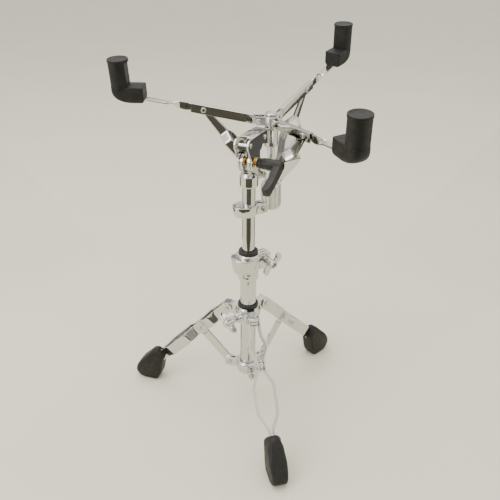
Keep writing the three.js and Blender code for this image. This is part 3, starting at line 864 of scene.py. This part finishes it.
class STAND_OT_basket_nut(bpy.types.Operator):
    """Build the fluted nut that closes the basket"""

    bl_idname = "stand.basket_nut"
    bl_label = "Basket Nut"

    def execute(self, context):
        """r(a) = R - f |sin 4a|^6 within the grip's length, so eight narrow flutes run along it."""
        profile = rounded([[BASKET_BORE, -143], [13.4, -143], [15.5, -140], [15.5, -104], [13.4, -101],
                           [9.4, -100], [9.0, -93.4], [BASKET_BORE, -93.4]], 1.2, 4)
        a = np.linspace(0, 2 * np.pi, 192, endpoint=False)[:, None]
        r, z = profile.T
        grip = np.clip((r - 12.5) / 2.5, 0, 1)
        radius = r - 1.1 * grip * np.abs(np.sin(4 * a)) ** 6
        rings = points_of(radius * np.cos(a), radius * np.sin(a), z)
        add_piece("basket_nut_fluted", [carried(rings, loop=True)], HUB, "satin", "nut", ["basket_nut"])
        return {"FINISHED"}


class STAND_OT_arms(bpy.types.Operator):
    """Build the arms: folded channel, twisted blade and rivet"""

    bl_idname = "stand.arms"
    bl_label = "Arms"

    def execute(self, context):
        """The blade's section turns from upright to flat as a = 90 (1 - s), s a smooth step along it."""
        outer, wall, tall = ARM_HALF_WIDTH, 1.1, 6.7
        inner = outer - wall
        section = rounded([[-outer, -tall], [-inner, -tall], [-inner, tall - wall], [inner, tall - wall],
                           [inner, -tall], [outer, -tall], [outer, tall], [-outer, tall]],
                          [[0.3], [0.3], [0.4], [0.4], [0.3], [0.3], [1.0], [1.0]], 5)
        u = np.array([9.0, 12.0, 60.0, 98.0])
        channel = carried(points_of(u[:, None], section[:, 0], section[:, 1]))
        ear = rounded([[-5.8, -5.8], [12, -tall], [12, tall - 1], [-5.8, 5.8]],
                      [[5.8], [0.2], [0.2], [5.8]], 8)
        ears = [plate(ear, y0, y0 + wall) for y0 in (-outer, inner)]
        along = np.linspace(62, 186, 80)
        twist = np.clip((along - 112) / 22, 0, 1)
        twist = twist * twist * (3 - 2 * twist)
        half = np.interp(along, [62, 99, 106, 114, 124, 140, 186], [5, 5, 6.2, 5.6, 4.6, 5.5, 5.5])
        angle = np.pi / 2 * (1 - twist)
        edge = rounded([[-1, -1], [1, -1], [1, 1], [-1, 1]], [[0.3]] * 4, 3)
        s, t = edge[:, 0] * half[:, None], edge[:, 1]
        c, d = np.cos(angle)[:, None], np.sin(angle)[:, None]
        blade = carried(points_of(along[:, None], s * c - t * d, s * d + t * c))
        # painted shade: a near-black disc set through the blade stands in for the shade in its hole
        hole = along_y(rod(1.7, -1.12, 1.12, 0.05, 24), 105)
        for name, arm in ARMS.items():
            place = arm.pitched(ARM_RISE)
            body = f"arm_{name}"
            add_piece(f"arm_channel_folded_{name}", [channel, *ears], place, "chrome", body,
                      [f"arm_channel_{name}"], 0.3)
            add_piece(f"arm_blade_twisted_{name}", [blade], place, "chrome", body, [f"arm_blade_{name}"],
                      0.3, [([hole], "shade")])
            heads = [screw_head(3.9, sign * outer, sign) for sign in (1, -1)]
            shaft = along_y(rod(PIN_R, -outer - 0.5, outer + 0.5))
            solid = [shifted(s, x=ARM_RIVET_U) for s in (shaft, *heads[0][0], *heads[1][0])]
            # painted shade: the cross cuts are thin bars in the near-black finish, standing in for the shade
            # inside real cuts
            cuts = [shifted(s, x=ARM_RIVET_U) for s in (*heads[0][1], *heads[1][1])]
            add_piece(f"arm_screw_{name}", solid, place, "satin", body, [f"arm_rivet_{name}"], 0, [(cuts,
                      "shade")])
        return {"FINISHED"}


class STAND_OT_struts(bpy.types.Operator):
    """Build the struts between the slider and the arms"""

    bl_idname = "stand.struts"
    bl_label = "Struts"

    def execute(self, context):
        for name, strut in STRUTS.items():
            arm_eye = ARMS[name].pitched(ARM_RISE).world([ARM_RIVET_U, 0, 0])
            reach = (arm_eye - strut.origin) / MM
            length = np.linalg.norm(reach)
            rise = math.atan2(reach @ strut.axes[2], reach @ strut.axes[0])
            wide = [[14, 5.4], [48, 12.6], [length - 56, 12.6], [length - 44, 1.6]]
            bends = rounded([[-6.5, 5.4], *wide, [length - 8, 1.6]], 2.5, 6, closed=False)
            nose = -6.5 * np.cos(np.linspace(0, np.pi / 2, 10))
            path = np.vstack([np.stack([nose, np.full(10, 5.4)], -1), bends[bends[:, 0] > 0.5]])
            height = np.where(path[:, 0] < 0, np.sqrt(np.maximum(6.5**2 - path[:, 0] ** 2, 0.05)), 7.0)
            height = np.minimum(height, np.interp(path[:, 0], [length - 16, length - 11], [7.0, 4.6]))
            cheeks = [strip(path * [1, side], 1.1, height) for side in (1, -1)]
            edge = np.array([[8, 5.4], *wide[:3]]) - [0, 0.3]
            floor = np.vstack([edge * [1, -1], edge[::-1]])
            web = shifted(spun(plate(floor, -0.7, 0.7), 90, 0), z=-6.2)
            add_piece(f"strut_folded_{name}", [*cheeks, web], strut.pitched(rise), "chrome",
                      f"strut_{name}", [f"strut_{name}"], 0.3)
        return {"FINISHED"}


class GripSizes(bpy.types.PropertyGroup):
    post_radius: FloatProperty(
        name="Post Radius", description="Radius of a grip's upright post", default=14.2 * MM,
        min=8 * MM, max=14.8 * MM, unit="LENGTH")
    flat: FloatProperty(
        name="Flat", description="Distance of the post's flat inner face from its axis", default=10.8 * MM,
        min=5 * MM, max=14 * MM, unit="LENGTH")
    lip: FloatProperty(
        name="Lip", description="Thickness of the disc on top of the post", default=4.2 * MM,
        min=1 * MM, max=8 * MM, unit="LENGTH")


GRIP_R = 211.0
GRIP_TOP = 86.0


class STAND_OT_grips(bpy.types.Operator):
    """Build the three rubber grips that hold the drum"""

    bl_idname = "stand.grips"
    bl_label = "Grips"

    def execute(self, context):
        """Seat: a rounded plan outline carried up from the sloping underside, with a groove along each
        side. Post: a circle cut by a flat on its inner side, under a round lip with a dished top."""
        sizes = context.scene.stand_grip
        radius, flat, lip = sizes.post_radius / MM, sizes.flat / MM, sizes.lip / MM
        reach = GRIP_R - 17.0
        top = GRIP_TOP
        a = np.linspace(0, 2 * np.pi, 96, endpoint=False)
        # seat and elbow
        level = np.array([0, 0.6, 2.0, 4.5, 8.0, 12.0, 16.0, 20.0, 21.0, 22.3, 23.6, 24.4, 25.0])
        grow = np.sqrt(np.clip(1 - (1 - np.clip(level / 17.0, 0, 1)) ** 2, 0, 1))
        groove = np.array([0, 0, 0, 0, 0, 0, 0, 0, 0.5, 1.5, 0.5, 0, 0])
        inset = np.array([0, 0, 0, 0, 0, 0, 0, 0, 0, 0, 0, 0.15, 0.9])
        inner = 178 - GRIP_R + 2.2 * (1 - np.clip(level / 5.0, 0, 1)) + inset
        outer = -8 + (radius + 8) * grow
        half = 13 * (0.80 + 0.20 * np.clip(level / 6.0, 0, 1) ** 0.5) - inset
        corner_x = np.stack([inner, inner, outer, outer], 1)
        corner_y = np.stack([-half, half, half, -half], 1)
        plans = np.stack([rounded(np.stack([x, y], -1), [[3], [3], [13], [13]], 8)
                          for x, y in zip(corner_x, corner_y)])
        along = plans[..., 0]
        fade = np.clip((along + 32) / 5, 0, 1) * np.clip((-9 - along) / 6, 0, 1)
        plans[..., 1] -= np.sign(plans[..., 1]) * groove[:, None] * fade
        seat = carried(points_of(along + reach, plans[..., 1], 26.5 + 22.5 / 25.0 * level[:, None]))
        # post
        cut = np.maximum(radius * np.cos(a), -flat)
        wide = radius * np.sin(a)
        steps = np.array([46, 50, 60, 76, top - lip - 0.6, top - lip + 1.0])
        post = carried(points_of(cut + reach, wide, steps[:, None]))
        cap = rounded([[0.02, top - lip], [radius + 0.6, top - lip], [radius + 0.6, top], [radius - 2.0, top],
                       [radius - 3.0, top - 0.5], [0.02, top - 0.7]], 0.8, closed=False)
        disc = shifted(turned(cap, 72), x=reach)
        for name, arm in ARMS.items():
            add_piece(f"grip_moulded_{name}", [seat, post, disc], arm, "rubber", f"arm_{name}",
                      [f"grip_{name}"], 0.8)
        return {"FINISHED"}


# ---- stage ----
class StageLook(bpy.types.PropertyGroup):
    floor: FloatVectorProperty(
        name="Floor", description="Colour of the floor", subtype="COLOR", default=(0.72, 0.69, 0.56),
        min=0, max=1)
    room: FloatProperty(
        name="Room", description="Brightness of the room round the stand", default=1.5, min=0, max=4)


def floor_look(color):
    """Matt pale floor with a barely visible cloudy tone."""
    material, tree, surface, place = shader("floor_matt")
    paler = tuple(min(1.0, 1.035 * c) for c in color)
    tree.links.new(ramp(tree, noise(tree, place, 2.5, 4), tuple(color), paler), surface.inputs["Base Color"])
    surface.inputs["Roughness"].default_value = 0.6
    surface.inputs["Specular IOR Level"].default_value = 0.2
    bump(tree, surface, noise(tree, place, 300, 3), 0.0003, 0.1)
    return material


def room_world(strength):
    """A pale room, a little dimmer in broad soft patches, as a furnished studio is."""
    world = bpy.data.worlds.new("room")
    bpy.context.scene.world = world
    world.use_nodes = True
    tree = world.node_tree
    background = tree.nodes["Background"]
    coordinates = tree.nodes.new("ShaderNodeTexCoord")
    field = noise(tree, coordinates.outputs["Generated"], 2.6, 1, (1, 1, 0.5))
    colour = ramp(tree, field, (0.30, 0.295, 0.275), (1.0, 0.98, 0.93), 0.40, 0.50)
    tree.links.new(colour, background.inputs["Color"])
    background.inputs["Strength"].default_value = strength


def dark_card(name, way, near, far, spread_angle, color):
    """A matt card on the floor that only bright plating shows: neither the camera nor soft light meets
    it. It lies between two distances from the column and spreads by the angle to each side of its way."""
    reach = np.array([near, near, far, far])[:, None]
    side = np.array([-1, 1, 1, -1])[:, None] * math.tan(math.radians(spread_angle))
    points = COLUMN.origin + 0.002 * UP + reach * (way + side * np.cross(UP, way))
    mesh = bpy.data.meshes.new(name)
    mesh.from_pydata(points, [], [(0, 1, 2, 3)])
    material, tree, surface, place = shader(name)
    tree.links.new(ramp(tree, noise(tree, place, 3, 3), color, tuple(1.6 * c for c in color)),
                   surface.inputs["Base Color"])
    surface.inputs["Roughness"].default_value = 0.9
    mesh.materials.append(material)
    card = bpy.data.objects.new(name, mesh)
    bpy.context.scene.collection.objects.link(card)
    card.visible_camera = False
    card.visible_diffuse = False
    card.visible_shadow = False


def area_light(name, place, target, size, power, color):
    light = bpy.data.lights.new(name, "AREA")
    light.shape = "RECTANGLE"
    light.size, light.size_y = size
    light.energy = power
    light.color = color
    lamp = bpy.data.objects.new(name, light)
    lamp.location = place
    lamp.rotation_euler = (Vector(target) - Vector(place)).to_track_quat("-Z", "Y").to_euler()
    bpy.context.scene.collection.objects.link(lamp)


CAMERA_PLACE = COLUMN.world([-182.7, -741.2, 696.4])
CAMERA_TARGET = COLUMN.world([2.3, -0.6, 283.7])
CAMERA_LENS = 41.55
CAMERA_ROLL = math.radians(0.508)


class STAND_OT_stage(bpy.types.Operator):
    """Build the floor, the lights and the camera"""

    bl_idname = "stand.stage"
    bl_label = "Stage"

    def execute(self, context):
        half = 14.0
        grid = np.linspace(-half, half, 9)
        x, y = np.meshgrid(grid, grid)
        points = np.stack([x.ravel(), y.ravel(), np.zeros(x.size)], -1)
        i, j = np.meshgrid(np.arange(8), np.arange(8))
        a = (i * 9 + j).ravel()
        mesh = bpy.data.meshes.new("floor")
        mesh.from_pydata(points, [], np.stack([a, a + 1, a + 10, a + 9], -1).tolist())
        mesh.materials.append(floor_look(context.scene.stand_stage.floor))
        floor = bpy.data.objects.new("floor", mesh)
        context.scene.collection.objects.link(floor)
        room_world(context.scene.stand_stage.room)
        area_light("ceiling_panel", (-0.3, 0.2, 2.6), (0, 0, 0.2), (2.6, 2.2), 60, (1.0, 0.985, 0.95))
        area_light("window_left", (-2.2, -1.0, 1.5), (0, 0, 0.3), (1.2, 1.6), 24, (1.0, 0.99, 0.97))
        viewer = unit((np.array(CAMERA_PLACE) - COLUMN.origin) * [1, 1, 0])
        beside = np.cross(UP, viewer)
        for name, turn, near, far, angle, color in (
                ("card_front", 0, 0.50, 2.5, 40, (0.030, 0.026, 0.015)),
                ("card_left", -130, 0.60, 2.4, 15, (0.06, 0.06, 0.057)),
                ("card_right", 133, 0.55, 2.4, 14, (0.03, 0.03, 0.03))):
            a = math.radians(turn)
            dark_card(name, viewer * math.cos(a) + beside * math.sin(a), near, far, angle, color)
        camera = bpy.data.objects.new("camera", bpy.data.cameras.new("camera"))
        context.scene.collection.objects.link(camera)
        camera.location = CAMERA_PLACE
        turn = (Vector(CAMERA_TARGET) - Vector(CAMERA_PLACE)).to_track_quat("-Z", "Y")
        camera.rotation_euler = turn.to_euler()
        camera.rotation_euler.rotate_axis("Z", CAMERA_ROLL)
        camera.data.lens = CAMERA_LENS
        camera.data.clip_start = 0.01
        context.scene.camera = camera
        return {"FINISHED"}


STEPS = (
    STAND_OT_tubes, STAND_OT_bushings, STAND_OT_height_clamp, STAND_OT_memory_lock, STAND_OT_tripod_collar,
    STAND_OT_lower_hub, STAND_OT_legs, STAND_OT_stays, STAND_OT_feet, STAND_OT_tilter, STAND_OT_handle,
    STAND_OT_basket_hub, STAND_OT_basket_nut, STAND_OT_arms, STAND_OT_struts, STAND_OT_grips, STAND_OT_stage,
)


class STAND_PT_panel(bpy.types.Panel):
    """Lists the pieces of the stand and their sizes and colours"""

    bl_label = "Drum Stand"
    bl_idname = "STAND_PT_panel"
    bl_space_type = "VIEW_3D"
    bl_region_type = "UI"
    bl_category = "Drum Stand"

    def draw(self, context):
        layout = self.layout
        scene = context.scene
        for group, names in (
                (scene.stand_colours, ("chrome", "satin", "brass", "nylon", "rubber")),
                (scene.stand_foot, ("half_width", "chamfer")),
                (scene.stand_grip, ("post_radius", "flat", "lip")),
                (scene.stand_stage, ("floor", "room"))):
            box = layout.box()
            for name in names:
                box.prop(group, name)
        for step in STEPS:
            layout.operator(step.bl_idname)


GROUPS = {"stand_colours": FinishColours, "stand_foot": FootSizes, "stand_grip": GripSizes,
          "stand_stage": StageLook}


def register():
    for cls in (*GROUPS.values(), *STEPS, STAND_PT_panel):
        bpy.utils.register_class(cls)
    for name, cls in GROUPS.items():
        setattr(bpy.types.Scene, name, PointerProperty(type=cls))


def unregister():
    for name in GROUPS:
        delattr(bpy.types.Scene, name)
    for cls in (STAND_PT_panel, *reversed(STEPS), *GROUPS.values()):
        bpy.utils.unregister_class(cls)


def main():
    register()
    for step in STEPS:
        group, name = step.bl_idname.split(".")
        getattr(getattr(bpy.ops, group), name)()


if __name__ == "__main__":
    main()
